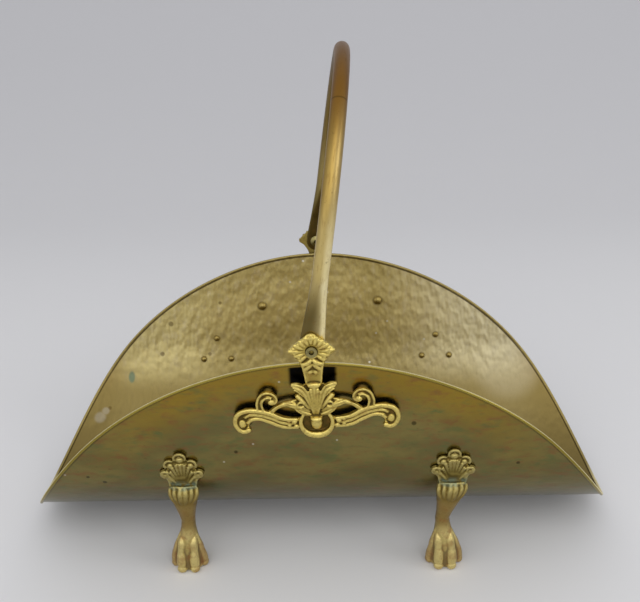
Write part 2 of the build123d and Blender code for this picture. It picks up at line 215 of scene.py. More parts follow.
def film(material, colour, cover, thickness, hex_colour):
    """A colour under a film of another, which hides it by its thickness where cover is 1."""
    share = add_node(material, "Math", {0: cover, 1: thickness}, operation="MULTIPLY")
    sockets = {0: share, 6: colour, 7: linear(hex_colour)}
    return add_node(material, "Mix", sockets, output=2, data_type="RGBA")


def between(material, *limits):
    """Cover of a film that begins where each value passes its start and is whole past all their ends."""
    cover = 1.0
    for value, start, end in limits:
        sockets = {0: value, 1: start, 2: end}
        rise = add_node(material, "MapRange", sockets, interpolation_type="SMOOTHSTEP")
        cover = add_node(material, "Math", {0: rise, 1: cover}, operation="MULTIPLY")
    return cover


def blotches(material, where, size, start, end, detail=3.0):
    """Soft blotches of one size, in metres, that cover less the higher start and end are."""
    sockets = {"Vector": where, "Scale": 1 / size, "Detail": detail, "Roughness": 0.6}
    cloud = add_node(material, "TexNoise", sockets)
    return between(material, (cloud, start, end))


def near_spots(material, where, spots):
    """1 in the middle of each spot of the flat blank, given as x, around and radius, 0 outside them."""
    cover = 0.0
    for x, around, radius in spots:
        sockets = {0: where, 1: (x, around, 0)}
        away = add_node(material, "VectorMath", sockets, output=1, operation="DISTANCE")
        one_spot = between(material, (away, radius, radius * 0.5))
        cover = add_node(material, "Math", {0: one_spot, 1: cover}, operation="MAXIMUM")
    return cover


def unevenness(material, where, size, height, strength, detail=3.0):
    """Bumps of one size and height, in metres, for the shader's normal."""
    grain = add_node(material, "TexNoise", {"Vector": where, "Scale": 1 / size, "Detail": detail})
    return add_node(material, "Bump", {"Height": grain, "Distance": height, "Strength": strength})


def flat_blank_place(material):
    """Place on the flat blank, x and way up the wall in metres, share of half length, way in from edge."""
    where = add_node(material, "UVMap", {}, uv_map="flat_blank")
    x = add_node(material, "SeparateXYZ", {0: where}, output=0)
    around = add_node(material, "SeparateXYZ", {0: where}, output=1)
    from_middle = add_node(material, "Math", {0: x}, operation="ABSOLUTE")
    up_the_wall = add_node(material, "Math", {0: around}, operation="ABSOLUTE")
    along = add_node(material, "Math", {0: from_middle, 1: half_length}, operation="DIVIDE")
    across = add_node(material, "Math", {0: up_the_wall, 1: half_around}, operation="DIVIDE")
    long_power = add_node(material, "Math", {0: along, 1: end_power}, operation="POWER")
    short_power = add_node(material, "Math", {0: across, 1: 2.0}, operation="POWER")
    oval = add_node(material, "Math", {0: long_power, 1: short_power}, operation="ADD")
    share = add_node(material, "Math", {0: oval, 1: 2 / (2 + end_power)}, operation="POWER")
    left_over = add_node(material, "Math", {0: 1.0, 1: share}, operation="SUBTRACT")
    mean_half = (half_length + half_around) / 2
    inset = add_node(material, "Math", {0: left_over, 1: mean_half}, operation="MULTIPLY")
    return where, x, up_the_wall, along, inset


inside, shader = metal("hammered_brass_aged_inside", wiped_roughness)
where, x, up_the_wall, along, inset = flat_blank_place(inside)
marks = add_node(inside, "Mapping", {"Vector": where, "Scale": (1, 0.55, 1)})
elsewhere = add_node(inside, "Mapping", {"Vector": where, "Location": (2, 5, 0)})
colour = film(inside, linear("#CBBA7C"), blotches(inside, where, 0.09, 0.38, 0.62), 1.0, "#DCCB8C")
colour = film(inside, colour, between(inside, (along, 0.34, 0.56)), 0.85, "#F4E5A6")
colour = film(inside, colour, between(inside, (inset, 0.045, 0.008)), 0.4, "#A8965A")
colour = film(inside, colour, blotches(inside, marks, 0.009, 0.48, 0.70), 0.26, "#D6CBB6")
colour = film(inside, colour, blotches(inside, marks, 0.013, 0.52, 0.74, 4), 0.35, "#A8935A")
colour = film(inside, colour, blotches(inside, elsewhere, 0.03, 0.56, 0.76, 5), 0.22, "#B08A58")
# Painted sheen: paler and whiter towards the right end, where light is mirrored.
colour = film(inside, colour, between(inside, (x, 0.06, 0.18)), 0.5, "#F0E8CC")
colour = film(inside, colour, between(inside, (along, 0.74, 0.90)), 0.9, "#9A7C46")
colour = film(inside, colour, between(inside, (along, 0.84, 0.97)), 0.5, "#7C5A2E")
# Painted shade: darker, and rougher, along the bottom of the trough.
shaded_bottom = between(inside, (up_the_wall, 0.190, 0.116))
colour = film(inside, colour, shaded_bottom, 0.95, "#8B7A48")

# Over these lie a wide painted highlight on the right, the spots that wear and polish have left,
# painted shade round the rivets and in the crease, and the bead with its painted highlight.
# A wide pale spot on the right: painted highlight.
colour = film(inside, colour, near_spots(inside, where, [(0.228, 0.146, 0.05)]), 0.16, "#F0E8CC")
dark_spots = [
    (-0.1931, 0.1674, 0.0036), (-0.1189, 0.231, 0.0026), (-0.1347, 0.1663, 0.003), (-0.18, 0.2056, 0.004),
    (-0.2572, 0.1015, 0.003),
]
colour = film(inside, colour, near_spots(inside, where, dark_spots), 0.55, "#5A4520")
grey_spots = [(-0.268, 0.09, 0.009), (-0.262, 0.098, 0.006)]
colour = film(inside, colour, near_spots(inside, where, grey_spots), 0.4, "#B4AE9E")
colour = film(inside, colour, near_spots(inside, marks, [(-0.2315, 0.0767, 0.005)]), 0.7, "#5C7A68")
# Painted shade: a dark halo on the sheet round each rivet head of the feet and brackets.
rivet_shade_spots = []
for corner, across in foot_places.items():
    way = -1 if corner.startswith("front") else 1
    for aside, up in shell_rivets:
        rivet_shade_spots.append((across + aside, way * (mount_around + up), shell_rivet_head * 1.5))
for way in (-1, 1):
    for side in (-1, 1):
        aside, up = turned(side * arm_rivet_aside, arm_rivet_up, bracket_turn)
        rivet_shade_spots.append((hinge_offset + aside, way * (pivot_around + up), arm_rivet_head * 1.5))
colour = film(inside, colour, near_spots(inside, where, rivet_shade_spots), 0.75, "#4C3C1C")
# Painted shade in the crease where the rolled edge meets the sheet.
colour = film(inside, colour, between(inside, (inset, 0.0050, 0.0036)), 0.9, "#3E3118")
on_bead = (inset, 0.0031, 0.0025)
colour = film(inside, colour, between(inside, on_bead), 1.0, "#A8975F")
# Painted highlight: the top of the front bead is made pale.
around = add_node(inside, "SeparateXYZ", {0: where}, output=1)
colour = film(inside, colour, between(inside, on_bead, (around, 0.02, -0.02)), 1.0, "#E8DCAA")
specks = [
    (-0.0175, 0.2809), (-0.0337, 0.2554), (0.0102, 0.2421), (0.0819, 0.2043), (0.0685, 0.1893),
    (0.1268, 0.1805), (0.0602, 0.1528),
]
polish = near_spots(inside, where, [(x, around, 0.0018) for x, around in specks])
colour = film(inside, colour, polish, 0.9, "#F4F1E4")
peen = unevenness(inside, marks, 0.00769, 0.002, 0.6, 1)
dullness = add_node(inside, "MapRange", {0: shaded_bottom, 3: wiped_roughness, 4: dulled_roughness})
finish_with(inside, shader, Base_Color=colour, Roughness=dullness, Normal=peen)

# Outside of the sheet: the same brass, never wiped, under a smooth brown film with reddish and
# greenish blotches that run along the trough, more orange by the rim and greyer low down, with painted
# shade darker at the very bottom and under the rolled edge. Painted shadow lies black on the wall
# beside the necks of the brackets.
outside, shader = metal("hammered_brass_tarnished_outside", 0.27)
where, x, up_the_wall, along, inset = flat_blank_place(outside)
drawn_out = add_node(outside, "Mapping", {"Vector": where, "Scale": (0.5, 1, 1)})
elsewhere = add_node(outside, "Mapping", {"Vector": drawn_out, "Location": (3, 1, 0)})
base = blotches(outside, drawn_out, 0.05, 0.38, 0.62, 4)
colour = film(outside, linear("#736A42"), base, 1.0, "#857948")
by_rim = between(outside, (inset, 0.06, 0.006), (along, 0.78, 0.40))
colour = film(outside, colour, by_rim, 0.75, "#9C7E2A")
colour = film(outside, colour, between(outside, (along, 0.66, 0.90)), 0.45, "#68603E")
colour = film(outside, colour, blotches(outside, drawn_out, 0.012, 0.52, 0.70, 5), 0.55, "#84593A")
colour = film(outside, colour, blotches(outside, elsewhere, 0.015, 0.52, 0.70, 5), 0.55, "#5F6C42")
for shift, start, hex_colour in (((7, 2, 0), 0.52, "#8C5C3C"), ((1, 9, 0), 0.54, "#5A6E44")):
    fine = add_node(outside, "Mapping", {"Vector": where, "Scale": (0.35, 1, 1), "Location": shift})
    flecks = blotches(outside, fine, 0.005, start, start + 0.16, 4)
    colour = film(outside, colour, flecks, 0.4, hex_colour)
colour = film(outside, colour, blotches(outside, where, 0.004, 0.60, 0.78, 4), 0.5, "#4F4228")
dark_spots = [
    (-0.076, -0.1891, 0.0024), (-0.2069, -0.1496, 0.0028), (-0.2215, -0.1584, 0.0022),
    (0.09, -0.22, 0.003), (0.19, -0.17, 0.0024),
]
colour = film(outside, colour, near_spots(outside, where, dark_spots), 0.7, "#2C2818")
specks = [
    (-0.0315, -0.2689), (0.0191, -0.2016), (-0.243, -0.162), (-0.0593, -0.1984), (-0.0883, -0.1769),
]
polish = near_spots(outside, where, [(x, around, 0.0014) for x, around in specks])
colour = film(outside, colour, polish, 0.5, "#D8D4C0")
colour = film(outside, colour, between(outside, (up_the_wall, 0.150, 0.085)), 0.35, "#6A6A54")
# Painted shade: darker still at the very bottom, where the wall mirrors the shaded floor.
colour = film(outside, colour, between(outside, (up_the_wall, 0.095, 0.060)), 0.5, "#454232")
# Painted shade in the crease under the rolled edge.
colour = film(outside, colour, between(outside, (inset, 0.0048, 0.0034)), 0.5, "#3E3820")
colour = film(outside, colour, between(outside, (inset, 0.0030, 0.0024)), 1.0, "#94843C")
# Painted shadow: black on the wall beside each bracket's neck, just below the rim.
off_centre = add_node(outside, "Math", {0: x, 1: hinge_offset}, operation="SUBTRACT")
from_neck = add_node(outside, "Math", {0: off_centre}, operation="ABSOLUTE")
neck_shadow = between(
    outside, (from_neck, 0.0230, 0.0190), (up_the_wall, 0.262, 0.268), (inset, 0.0042, 0.0060)
)
colour = film(outside, colour, neck_shadow, 1.0, "#0D0C0A")
peen = unevenness(outside, drawn_out, 0.005, 0.0008, 0.2)
finish_with(outside, shader, Base_Color=colour, Normal=peen)
for material in (inside, outside):
    trough.data.materials.append(material)
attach(trough, "basket")
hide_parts("trough_sheet")

# Feet: four paw feet, sand cast in brass, each a fluted shell riveted to the trough, a collar of
# leaves, an ankle and a paw with four toes. One pattern is worked in millimetres, with the leg
# upright, then fused, softened, and set four times, each with its own crook and lean.
leg_top = 93.3
ankle_height = 56.0
paw_height = 18.7
inward_shifts = {
    "front_left": (1.3, -1.3), "front_right": (8.4, 5.2), "back_left": (4.0, 2.0), "back_right": (4.0, 2.0),
}
swell_out = 5.5
swell_top = -5.0
swell_foot = -18.0
seat_gap = 0.00005

# The leg's sections from its top: height, middle out from the trough's axis, half width, half depth
leg_sections = [
    (101.0, 118.0, 11.0, 7.0), (99.0, 119.6, 13.2, 8.4), (95.0, 121.2, 14.2, 9.2), (90.0, 122.6, 14.4, 9.6),
    (85.0, 123.6, 13.4, 9.5), (79.0, 124.2, 11.8, 9.2), (72.0, 123.8, 9.7, 8.5), (64.0, 123.0, 7.9, 7.4),
    (57.0, 122.6, 6.9, 6.7), (50.0, 122.6, 7.2, 7.2), (42.0, 122.8, 8.6, 8.8), (30.0, 122.8, 11.4, 10.0),
    (16.0, 122.2, 14.0, 11.2), (5.0, 122.0, 14.4, 11.2), (1.2, 122.0, 12.8, 9.6),
]


def bar(points, radii, flat=1.0):
    """Tapered round bar through points, in millimetres; flat squashes its height about its path."""
    curve = bpy.data.curves.new("bar", "CURVE")
    curve.dimensions = "3D"
    curve.bevel_depth = 1
    curve.bevel_resolution = 3
    curve.use_fill_caps = True
    spline = curve.splines.new("BEZIER")
    spline.bezier_points.add(len(points) - 1)
    for knot, place, radius in zip(spline.bezier_points, points, radii):
        knot.co = (place[0], place[1], place[2] / flat)
        knot.radius = radius
        knot.handle_left_type = knot.handle_right_type = "AUTO"
    spline.resolution_u = 7
    made = bpy.data.objects.new("bar", curve)
    bpy.context.collection.objects.link(made)
    work_on(made)
    bpy.ops.object.convert(target="MESH")
    for vertex in made.data.vertices:
        vertex.co.z *= flat
    return made


def bead(place, half_sizes):
    """Rounded knob, in millimetres."""
    bpy.ops.mesh.primitive_uv_sphere_add(segments=20, ring_count=12, radius=1, location=place)
    made = bpy.context.object
    made.scale = half_sizes
    bpy.ops.object.transform_apply()
    return made


def ring(place, radius, thickness):
    """Flat-lying ring, in millimetres."""
    bpy.ops.mesh.primitive_torus_add(
        location=place, major_radius=radius, minor_radius=thickness, major_segments=32, minor_segments=10
    )
    return bpy.context.object


def slab(outline, height):
    """Flat plate, in millimetres, from its outline."""
    mesh = bpy.data.meshes.new("slab")
    mesh.from_pydata([(x, y, 0) for x, y in outline], [], [range(len(outline))])
    made = bpy.data.objects.new("slab", mesh)
    bpy.context.collection.objects.link(made)
    upwards = mesh.polygons[0].normal.z > 0
    apply_modifier(made, "SOLIDIFY", thickness=height, offset=1 if upwards else -1)
    return made


def turn_outward(piece):
    """Makes every face of a piece point outwards."""
    work_on(piece)
    bpy.ops.object.mode_set(mode="EDIT")
    bpy.ops.mesh.select_all(action="SELECT")
    bpy.ops.mesh.normals_make_consistent(inside=False)
    bpy.ops.object.mode_set(mode="OBJECT")


def cast_whole(piece, voxel, softening):
    """Both halves of a casting as one skin with softened edges, from its right half."""
    apply_modifier(piece, "MIRROR", use_axis=(True, False, False), use_mirror_merge=False)
    turn_outward(piece)
    apply_modifier(piece, "REMESH", mode="VOXEL", voxel_size=voxel)
    apply_modifier(piece, "SMOOTH", factor=0.5, iterations=softening)
    work_on(piece)
    bpy.ops.object.shade_smooth()


def mark_hollows(piece, back_height):
    """Stores how far each point lies below the surface round it, in mm, and which are on its back, for
    painted shade.

    The surface round it is the mesh smoothed by a few passes for fine relief, and by more for broad.
    """
    mesh = piece.data
    count = len(mesh.vertices)
    places, normals = np.empty(count * 3), np.empty(count * 3)
    mesh.vertices.foreach_get("co", places)
    mesh.vertex_normals.foreach_get("vector", normals)
    places, normals = places.reshape(-1, 3), normals.reshape(-1, 3)
    edges = np.empty(len(mesh.edges) * 2, int)
    mesh.edges.foreach_get("vertices", edges)
    starts, ends = edges[0::2], edges[1::2]
    neighbours = np.maximum(np.bincount(edges, minlength=count), 1)
    smooth = places.copy()
    depth = np.zeros(count)
    for passes, weight in ((14, 1.0), (66, 0.55)):
        for _ in range(passes):
            for axis in range(3):
                total = np.bincount(starts, smooth[ends, axis], count)
                total += np.bincount(ends, smooth[starts, axis], count)
                smooth[:, axis] = total / neighbours
        depth += weight * ((smooth - places) * normals).sum(axis=1)
    layer = mesh.attributes.new("hollow", "FLOAT", "POINT")
    layer.data.foreach_set("value", depth)
    back_shade = mesh.attributes.new("shaded_back", "FLOAT", "POINT")
    facing_wall = np.clip(back_height - places[:, 2], 0, 1) * np.clip(-20 - places[:, 1], 0, 1)
    back_shade.data.foreach_set("value", facing_wall)


def eased(share):
    """A share that starts and ends slowly."""
    return share * share * (3 - 2 * share)


def copy_of(pattern, name):
    """Copy of a casting's pattern with its own mesh."""
    made = pattern.copy()
    made.data = pattern.data.copy()
    bpy.context.collection.objects.link(made)
    made.name = name
    made.data.name = name
    return made


def on_leg(x, z, proud=0.0):
    """Point on the front of the leg, from its sections, in millimetres."""
    for upper, lower in zip(leg_sections, leg_sections[1:]):
        if lower[0] <= z <= upper[0]:
            share = (upper[0] - z) / (upper[0] - lower[0])
            middle, half_width, half_depth = [u + (v - u) * share for u, v in zip(upper[1:], lower[1:])]
    reach = sqrt(max(1 - (x / half_width) ** 2, 0.0))
    return (x, -middle - half_depth * reach - proud, z)


# The shell: a plate with lobes and knobs, two crests, a curl at its side, and flutes
shell_slab = [
    (-0.5, 15), (6, 12.4), (11.4, 7), (14.6, 0), (15.4, -7), (13.6, -14), (12.4, -19.5), (-0.5, -20.5),
]
shell = [slab(shell_slab, 2.4)]
lobes = [(0, 17.2, 6.5), (10.0, 9.8, 6.0), (16.4, -2.8, 5.6)]
for x, y, radius in lobes:
    path = [(x * 0.1, -16, 1.5), (x * 0.6, y * 0.5 - 7, 1.6), (x, y, 1.5)]
    shell.append(bar(path, [4.5, 5.2, radius - 0.6], 0.34))
    shell.append(bead((x, y, 1.2), (radius - 0.2, radius - 0.2, 1.5)))
    shell.append(bead((x * 0.96, y * 0.96 - 1.2, 2.6), (radius * 0.5, radius * 0.44, 2.2)))
for (x, y, radius), start, end in zip(lobes[:2], (94, -40), (-24, 128)):
    arc = [radians(start + (end - start) * i / 6) for i in range(7)]
    reach = radius - 1.0
    crest = [(x + reach * cos(t), y + reach * sin(t), 3.1) for t in arc]
    shell.append(bar(crest, [1.5, 1.6, 1.5, 1.4, 1.3, 1.1, 0.8]))
shell.append(ring((16.2, -2.6, 3.1), 3.5, 1.5))
shell.append(bead((18.6, -2.0, 3.4), (1.8, 2.2, 1.6)))
for x, y in ((0, 11.4), (4.3, 11.2), (8.1, 7.4), (11.0, 1.8), (12.8, -5.0)):
    shell.append(bar([(x * 0.14, -19, 1.8), (x * 0.58, y * 0.5 - 8, 3.1), (x, y, 3.9)], [0.6, 1.15, 1.7]))
shell = join_pieces(shell, "shell")
for vertex in shell.data.vertices:
    x, up, off = vertex.co
    off += swell_out * eased(ramp(up, swell_top, swell_foot)) * ramp(off, 0, 2)
    vertex.co = on_wall(x / 1000, -mount_around - up / 1000, off / 1000) * 1000

# The leg: its sections bridged into one skin
leg = []
for z, middle, half_width, half_depth in leg_sections:
    bpy.ops.mesh.primitive_circle_add(vertices=28, radius=1, location=(0, -middle, z))
    section = bpy.context.object
    section.scale = (half_width, half_depth, 1)
    bpy.ops.object.transform_apply()
    leg.append(section)
leg = join_pieces(leg, "leg")
bpy.ops.object.mode_set(mode="EDIT")
bpy.ops.mesh.select_all(action="SELECT")
bpy.ops.mesh.bridge_edge_loops()
bpy.ops.mesh.select_all(action="SELECT")
bpy.ops.mesh.region_to_loop()
bpy.ops.mesh.edge_face_add()
bpy.ops.object.mode_set(mode="OBJECT")

# Leaves of the collar: a path on the leg's front as x and height, its radii, and how proud it stands
collar_bars = [
    ([(0, 98.4), (5.0, 98.2), (10.0, 97.4), (13.0, 95.6)], [1.3, 1.3, 1.4, 1.3], 0.0),
    ([(2.0, 97.0), (2.5, 91.0), (2.2, 85.6), (1.1, 81.6)], [2.4, 3.0, 2.6, 1.4], -0.9),
    ([(7.8, 96.6), (8.2, 91.4), (7.0, 86.4), (5.2, 83.0)], [2.0, 2.5, 2.0, 1.0], -0.9),
    ([(12.6, 96.0), (12.6, 90.0), (10.4, 84.6), (7.4, 80.6)], [2.0, 2.5, 2.1, 0.9], -0.8),
]
collar = [bar([on_leg(x, z, proud) for x, z in path], radii) for path, radii, proud in collar_bars]

# Toes: points with a radius each, then pads at their tips and under the paw
middle_toe = [
    (4.3, -124.4, 43, 2.6), (4.9, -126.8, 38.5, 3.8), (5.3, -128.6, 33.5, 4.8), (5.5, -128.9, 28.5, 4.7),
    (5.7, -129.2, 24.0, 4.6), (5.9, -130.0, 19, 5.2), (6.1, -130.6, 13, 5.6), (6.2, -130.8, 8, 5.2),
]
outer_toe = [
    (5.2, -124.5, 46, 2.4), (7.9, -124.7, 37, 3.1), (10.7, -124.3, 28, 3.7), (12.4, -123.7, 21.5, 3.5),
    (13.6, -122.9, 15, 4.1), (14.2, -121.9, 8, 4.4),
]
toes = [bar([place[:3] for place in toe], [place[3] for place in toe]) for toe in (middle_toe, outer_toe)]
toes += [
    bead((6.3, -132.2, 4.6), (5.0, 4.4, 4.6)), bead((14.3, -121.7, 4.9), (4.4, 4.8, 4.9)),
    bead((0, -118.6, 5.2), (13.4, 8.5, 5.2)),
]
pattern = join_pieces([leg, shell] + collar + toes, "foot_pattern")
cast_whole(pattern, 0.7, 2)
mark_hollows(pattern, -1.0)
aside = pattern.data.attributes.new("aside", "FLOAT", "POINT")
for vertex in pattern.data.vertices:
    aside.data[vertex.index].value = abs(vertex.co.x)

rub_size = 0.00417
sand_grain = 0.00111
dirt_roughness = 0.62


def cast_brass(name, bright, worn, dirt, roughness):
    """Rubbed brass casting: its material, shader and colour, and the place that its patterns go by.

    Moulding sand has grains of about 0.3 mm, too fine to show, so they are drawn 1.1 mm wide.
    """
    material, shader = metal(name, roughness)
    place = add_node(material, "TexCoord", {}, output=3)
    hollow = add_node(material, "Attribute", {}, output=2, attribute_name="hollow")
    rub = add_node(material, "TexNoise", {"Vector": place, "Scale": 1 / rub_size, "Detail": 4})
    uneven = add_node(material, "MapRange", {0: rub, 3: -0.13, 4: 0.13})
    depth = add_node(material, "Math", {0: hollow, 1: uneven}, operation="ADD")
    patchy = blotches(material, place, 0.02, 0.38, 0.66)
    colour = film(material, linear(worn), patchy, 0.5, bright)
    colour = film(material, colour, between(material, (depth, -0.02, -0.45)), 0.95, bright)
    dirty = between(material, (depth, 0.03, 0.52))
    colour = film(material, colour, dirty, 0.95, dirt)
    colour = film(material, colour, blotches(material, place, 0.0024, 0.50, 0.70, 4), 0.4, dirt)
    colour = film(material, colour, blotches(material, place, 0.007, 0.52, 0.70, 4), 0.3, "#9C6E38")
    # Painted shade: the backs that face the wall are made nearly black, so the wall mirrors a dark gap.
    back_shade = add_node(material, "Attribute", {}, output=2, attribute_name="shaded_back")
    colour = film(material, colour, back_shade, 1.0, "#15120C")
    dull = add_node(material, "Math", {0: dirty, 1: back_shade}, operation="MAXIMUM")
    dullness = add_node(material, "MapRange", {0: dull, 3: roughness, 4: dirt_roughness})
    sand = unevenness(material, place, sand_grain, 0.0002, 0.3, 2)
    finish_with(material, shader, Roughness=dullness, Normal=sand)
    return material, shader, colour, place


# The feet are less rubbed than the brackets: browner at the shell, collar and ankle, reddish in
# patches and on the outer toes, and green with verdigris where damp polish has lain under the shell.
foot_brass, shader, colour, place = cast_brass(
    "sand_cast_brass_feet", "#E6D68A", "#B8A65A", "#54461F", 0.38
)
height = add_node(foot_brass, "SeparateXYZ", {0: place}, output=2)
# Painted reflection of the bright floor: paler low down on the paws.
low_down = (height, 0.062, 0.040)
colour = film(foot_brass, colour, between(foot_brass, low_down), 0.35, "#C4AC78")
ankle = between(foot_brass, (height, 0.036, 0.056), (height, 0.100, 0.080))
colour = film(foot_brass, colour, ankle, 0.8, "#7E6030")
colour = film(foot_brass, colour, between(foot_brass, (height, 0.074, 0.084)), 0.55, "#6F6030")
patches = blotches(foot_brass, place, 0.011, 0.50, 0.68, 4)
below_collar = between(foot_brass, (height, 0.085, 0.060))
red_patches = add_node(foot_brass, "Math", {0: patches, 1: below_collar}, operation="MULTIPLY")
colour = film(foot_brass, colour, red_patches, 0.45, "#9A6438")
aside = add_node(foot_brass, "Attribute", {}, output=2, attribute_name="aside")
outer_toes = between(foot_brass, (aside, 10.5, 14.0), low_down)
colour = film(foot_brass, colour, outer_toes, 0.4, "#9C6A48")
under_shell = between(foot_brass, (height, 0.0945, 0.0975), (height, 0.105, 0.100))
damp = blotches(foot_brass, place, 0.006, 0.36, 0.56)
verdigris = add_node(foot_brass, "Math", {0: under_shell, 1: damp}, operation="MULTIPLY")
colour = film(foot_brass, colour, verdigris, 0.6, "#5F7468")
finish_with(foot_brass, shader, Base_Color=colour)

seat = bend_radius + seat_gap
for corner, across in foot_places.items():
    foot = copy_of(pattern, "paw_foot_" + corner)
    hand = -1 if corner.endswith("left") else 1
    way = 1 if corner.startswith("front") else -1
    at_ankle, at_paw = inward_shifts[corner]
    for vertex in foot.data.vertices:
        x, y, z = vertex.co
        depth, drop = abs(y) / 1000, axis_height - z / 1000
        angle = atan2(depth, drop)
        push = max(seat - hypot(depth, drop), 0)
        if angle >= bend_angle:
            angle = bend_angle
            push = max(seat - depth * sin(angle) - drop * cos(angle), 0)
        depth, drop = depth + push * sin(angle), drop + push * cos(angle)
        crook = ramp(z, leg_top, ankle_height)
        lean = ramp(z, ankle_height, paw_height)
        inward = at_ankle * crook + (at_paw - at_ankle) * lean
        vertex.co = (across + (x - inward) * hand / 1000, -depth * way, axis_height - drop)
    turn_outward(foot)
    foot.data.materials.append(foot_brass)
    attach(foot, "basket")
    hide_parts("foot_" + corner)
bpy.data.objects.remove(pattern)

# Brackets: one brass casting on each wall, with a lozenge head that holds the pivot, a strap neck,
# an acanthus leaf, a cup with a knob, and two arms of long and short scrolls. Each stands off the
# wall on two spacers under its arms, where its two rivets go through, and was fitted a little turned.
standoff = 4.0
pivot_height = 250.857
head_face = 144.205
wall_below = -26.0
head_above = -14.0
bracket_slab = [
    (-0.5, 17.5), (3.4, 16.0), (6.4, 13.0), (11.0, 10.0), (15.0, 6.6), (20.2, 1.8), (20.0, -1.0),
    (15.2, -4.4), (12.4, -8.6), (10.4, -12.4), (9.4, -16.0), (8.6, -22.0), (7.5, -30.0), (7.0, -46.0),
    (-0.5, -46.0),
]
leaf_slab = [
    (-0.5, -30.0), (5.6, -32.0), (11.4, -34.4), (13.2, -41.0), (13.6, -46.0), (17.0, -50.0), (20.4, -50.6),
    (25.4, -52.4), (22.0, -56.4), (18.4, -59.0), (14.0, -63.4), (10.0, -67.0), (-0.5, -70.0),
]
cup_slab = [(16.2 * sin(radians(turn)), -77 + 16.2 * cos(radians(turn))) for turn in range(-5, 186, 10)]
arm_slab = [
    (13.0, -70.6), (22.0, -70.4), (29.5, -68.3), (42.0, -61.6), (52.0, -58.4), (63.0, -57.9), (71.0, -61.4),
    (75.4, -68.0), (75.8, -74.4), (73.4, -80.6), (68.4, -84.8), (62.6, -84.6), (59.8, -81.4), (62.2, -77.6),
    (59.6, -73.8), (53.6, -70.9), (47.2, -72.1), (38.0, -77.4), (31.0, -80.8), (22.0, -82.8), (13.0, -85.0),
]
parts = [slab(bracket_slab, 2.9), slab(leaf_slab, 2.6), slab(cup_slab, 1.4), slab(arm_slab, 2.2)]
parts.append(ring((0, 0, 2.9), 6.0, 0.9))

# The bars below are given by their paths and their radii along them.
head_lobes = [(0.0, 15.8), (5.6, 13.6), (10.6, 10.4), (15.2, 6.6), (20.0, 1.0), (14.8, -4.0), (11.0, -8.8)]
for x, y in head_lobes:
    start = 5.6 / hypot(x, y)
    parts.append(bar([(x * start, y * start, 2.4), (x * 0.68, y * 0.68, 3.0), (x, y, 2.7)], [1.3, 1.9, 1.7]))
    parts.append(bead((x * 0.95, y * 0.95, 3.0), (1.5, 1.5, 1.4)))
for (x, y), (next_x, next_y) in zip(head_lobes, head_lobes[1:]):
    notch_x, notch_y = (x + next_x) * 0.47, (y + next_y) * 0.47
    parts.append(bar([(notch_x * 0.66, notch_y * 0.66, 3.2), (notch_x, notch_y, 3.8)], [0.6, 1.0]))
neck_bars = [
    ([(0.4, -8.0, 2.6), (3.6, -10.6, 3.2), (8.4, -13.0, 2.6)], [1.6, 2.2, 1.5]),
    ([(0.0, -12.0, 2.6), (3.2, -14.6, 3.0), (6.6, -18.2, 2.4)], [1.5, 1.9, 1.3]),
    ([(8.0, -16.0, 2.0), (7.2, -25.0, 2.1), (6.2, -34.0, 2.2)], [1.1, 1.2, 1.2]),
    ([(0.6, -19.6, 2.2), (2.6, -21.0, 2.6), (2.2, -24.0, 2.1)], [1.5, 1.6, 1.0]),
]
leaf_bars = [
    ([(4.0, -54.0, 1.6), (7.6, -44.0, 2.2), (11.4, -37.2, 2.8), (15.4, -33.6, 3.4), (20.4, -32.8, 3.2)],
     [3.0, 3.8, 4.0, 3.4, 1.6]),
    ([(6.6, -49.0, 4.4), (9.4, -41.4, 5.6), (13.4, -36.4, 6.4), (19.0, -34.6, 5.2)], [0.8, 1.2, 1.3, 0.9]),
    ([(5.4, -44.4, 4.6), (7.4, -38.0, 5.6), (11.4, -33.0, 6.0), (17.6, -31.8, 5.2)], [0.7, 1.0, 1.1, 0.8]),
    ([(10.4, -45.4, 4.2), (14.0, -39.8, 5.0), (18.2, -37.6, 4.2)], [0.7, 1.0, 0.8]),
    ([(5.0, -60.0, 1.6), (10.4, -52.0, 2.0), (16.6, -44.8, 2.0)], [2.8, 3.8, 2.2]),
    ([(7.0, -57.6, 4.2), (11.4, -50.6, 4.8), (16.2, -45.4, 3.6)], [0.7, 1.1, 0.9]),
    ([(5.6, -63.6, 1.6), (13.0, -57.6, 2.0), (21.0, -54.6, 2.0), (28.6, -53.6, 1.8)], [2.4, 3.8, 3.2, 1.2]),
    ([(16.4, -55.4, 4.4), (21.6, -53.4, 4.4), (27.4, -53.0, 2.8)], [0.8, 1.2, 0.9]),
    ([(14.8, -58.6, 4.2), (20.6, -56.8, 4.0), (26.0, -55.2, 2.8)], [0.7, 1.0, 0.8]),
    ([(4.0, -67.6, 1.8), (10.4, -65.2, 2.0), (15.8, -61.6, 2.0), (19.4, -57.8, 1.8)], [2.0, 2.6, 2.4, 1.2]),
    ([(4.4, -66.2, 3.8), (9.6, -63.8, 4.4), (14.6, -60.2, 4.0)], [0.7, 1.1, 0.9]),
]
eye_x, eye_y, eye_reach = 13.2, -54.6, 2.9
eye = [radians(-150 + 260 * i / 7) for i in range(8)]
curl = [(eye_x + eye_reach * cos(turn), eye_y + eye_reach * sin(turn), 5.0) for turn in eye]
leaf_bars.append((curl, [1.0] * 8))
for share in (0.0, 0.34, 0.68, 1.0):
    tip_x, tip_y = 9.4 * share, -36.6 - 6.4 * share * share
    middle_x, middle_y = 5.2 * share, -53.0 - 1.0 * share
    path = [(1.6 * share, -67.8, 3.0), (middle_x, middle_y, 4.2), (tip_x, tip_y, 4.6)]
    leaf_bars.append((path, [0.6, 0.95, 1.5]))
cup_bars = [
    ([(11.6, -67.4, 2.8), (13.9, -72.0, 2.9), (14.3, -77.6, 3.0), (12.0, -84.0, 3.0), (6.4, -88.6, 3.1),
      (-0.6, -89.7, 3.2)], [1.5, 1.9, 2.1, 2.6, 3.4, 3.9]),
    ([(0, -70.0, 2.8), (0, -76.0, 2.8), (0, -81.0, 2.2)], [5.4, 5.7, 4.2]),
]
